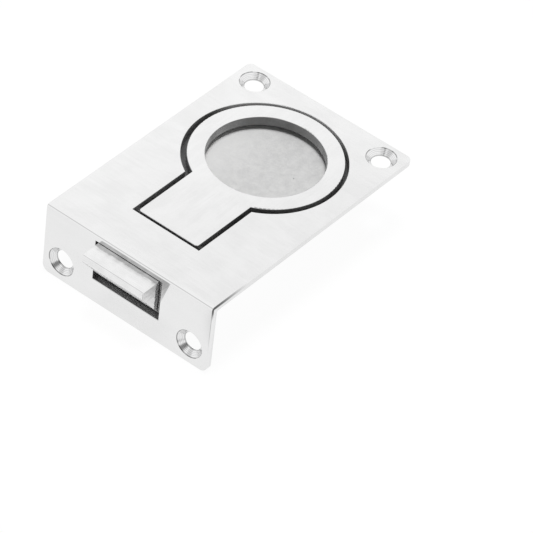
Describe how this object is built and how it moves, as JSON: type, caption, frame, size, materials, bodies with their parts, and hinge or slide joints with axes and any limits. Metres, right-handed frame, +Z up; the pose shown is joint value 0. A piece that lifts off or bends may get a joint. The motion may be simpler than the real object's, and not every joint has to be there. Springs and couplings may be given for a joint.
{
  "type": "flush ring pull latch",
  "caption": "Flush ring pull on an L-shaped cast plate; lifting the ring draws a bevelled spring bolt back through the lip.",
  "frame": {"origin": "inside corner of the L, midway across, where the underside of the plate meets the inner face of the lip", "axes": "+X to the right of someone who faces the lip, +Y from the lip to the back edge of the plate, +Z up out of the plate's top face"},
  "size_m": [0.063, 0.1, 0.0254],
  "materials": {
    "plate_steel": "polished casting with faint brushing, matt in the dish",
    "ring_steel": "polished casting",
    "bolt_steel": "polished on the head",
    "pin_steel": "ground",
    "spring_steel": "drawn wire",
    "cover_steel": "rolled sheet",
    "screw_steel": "plain"
  },
  "bodies": {
    "plate": {"face_plate": "plate_steel", "hinge_pin": "pin_steel", "cover_plate": "cover_steel", "cover_screws": "screw_steel", "bolt_spring": "spring_steel"},
    "ring": {"ring_pull": "ring_steel"},
    "bolt": {"latch_bolt": "bolt_steel", "guide_rod": "pin_steel"}
  },
  "joints": [
    {"name": "ring_hinge", "type": "hinge", "parent": "plate", "child": "ring", "pos_m": [0, 0.0177, -0.0015], "axis": [1, 0, 0], "range_deg": [0, 45]},
    {"name": "bolt_slide", "type": "slide", "parent": "plate", "child": "bolt", "axis": [0, 1, 0], "range_m": [0, 0.007], "stiffness_N_per_m": 300, "springref_m": -0.005, "deforming": ["bolt_spring"]}
  ],
  "couplings": [
    {"joint": "bolt_slide", "follows": "ring_hinge", "m_per_rad": 0.0089127}
  ]
}
